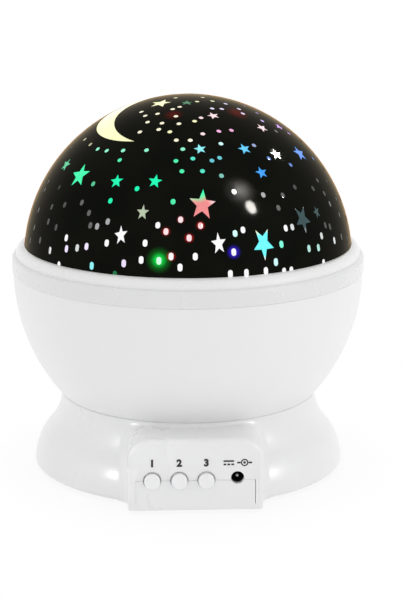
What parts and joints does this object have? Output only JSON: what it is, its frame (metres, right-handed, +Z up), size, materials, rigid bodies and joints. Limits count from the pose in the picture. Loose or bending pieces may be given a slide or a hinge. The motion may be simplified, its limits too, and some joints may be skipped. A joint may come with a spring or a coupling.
{
  "type": "star night light projector",
  "caption": "Round night light with a star-pierced dome that a geared motor turns in a white bowl on a flared base with a button pod.",
  "frame": {"origin": "on the table, under the axis of the bowl and dome", "axes": "+Z up along the bowl's axis, -Y towards the control pod, +X to the viewer's right"},
  "size_m": [0.13, 0.13, 0.1386],
  "materials": {
    "white_housing": "glossy white moulded ABS",
    "white_bowl": "milky white moulded plastic, soft gloss",
    "white_rim": "glossy milky white plastic",
    "white_collar": "glossy white plastic",
    "black_mask": "glossy black",
    "clear_dome": "frosted clear plastic",
    "button_cap": "glossy white plastic",
    "black_plastic": "matte black plastic",
    "grey_rubber": "soft grey rubber",
    "screw_steel": "zinc-plated steel",
    "motor_steel": "pressed sheet steel",
    "gear_acetal": "natural acetal",
    "board_green": "solder-masked circuit board",
    "cell_wrap": "plain printed steel jacket",
    "red_lamp": "clear red epoxy",
    "green_lamp": "clear green epoxy",
    "blue_lamp": "clear blue epoxy",
    "warm_lamp": "clear warm white epoxy",
    "wire_jacket": "soft dark sleeve"
  },
  "bodies": {
    "base": {"base_housing": "white_housing", "base_plate": "white_housing", "rubber_feet": "grey_rubber", "case_screws": "screw_steel", "battery_cells": "cell_wrap", "contact_plates": "motor_steel", "contact_springs": "motor_steel", "control_board": "board_green", "control_chip": "black_plastic", "switch_bodies": "black_plastic", "dc_jack": "black_plastic", "jack_pin": "motor_steel", "gear_motor": "motor_steel", "motor_screws": "screw_steel", "lamp_post": "white_housing", "post_screws": "screw_steel", "thrust_washer": "gear_acetal", "retaining_clip": "motor_steel", "lamp_head": "white_housing", "led_board": "board_green", "red_led": "red_lamp", "green_led": "green_lamp", "blue_led": "blue_lamp", "warm_led": "warm_lamp", "lamp_wires": "wire_jacket"},
    "turntable": {"bowl": "white_bowl", "rim_ring": "white_rim", "drive_gear": "gear_acetal", "hub_bush": "gear_acetal", "gear_screws": "screw_steel"},
    "dome": {"dome_collar": "white_collar", "clear_dome": "clear_dome", "star_mask": "black_mask"},
    "motor_pinion": {"motor_shaft": "motor_steel", "pinion": "gear_acetal"},
    "left_button": {"button_1": "button_cap", "plunger_1": "black_plastic"},
    "middle_button": {"button_2": "button_cap", "plunger_2": "black_plastic"},
    "right_button": {"button_3": "button_cap", "plunger_3": "black_plastic"},
    "door": {"battery_door": "white_housing", "door_screw": "screw_steel"}
  },
  "joints": [
    {"name": "bowl_spin", "type": "hinge", "parent": "base", "child": "turntable", "pos_m": [0, 0, 0.0225], "axis": [0, 0, 1], "continuous": true},
    {"name": "pinion_spin", "type": "hinge", "parent": "base", "child": "motor_pinion", "pos_m": [0, 0.034, 0.0225], "axis": [0, 0, 1], "continuous": true},
    {"name": "dome_lift", "type": "slide", "parent": "turntable", "child": "dome", "axis": [0, 0, 1], "range_m": [0, 0.06]},
    {"name": "left_button_press", "type": "slide", "parent": "base", "child": "left_button", "axis": [0, 1, 0], "range_m": [0, 0.0012], "stiffness_N_per_m": 400, "springref_m": -0.0005},
    {"name": "middle_button_press", "type": "slide", "parent": "base", "child": "middle_button", "axis": [0, 1, 0], "range_m": [0, 0.0012], "stiffness_N_per_m": 400, "springref_m": -0.0005},
    {"name": "right_button_press", "type": "slide", "parent": "base", "child": "right_button", "axis": [0, 1, 0], "range_m": [0, 0.0012], "stiffness_N_per_m": 400, "springref_m": -0.0005},
    {"name": "door_swing", "type": "hinge", "parent": "base", "child": "door", "pos_m": [0, 0.02105, 0.0027], "axis": [1, 0, 0], "range_deg": [0, 90]}
  ],
  "couplings": [
    {"joint": "pinion_spin", "follows": "bowl_spin", "ratio": -3.8571}
  ]
}
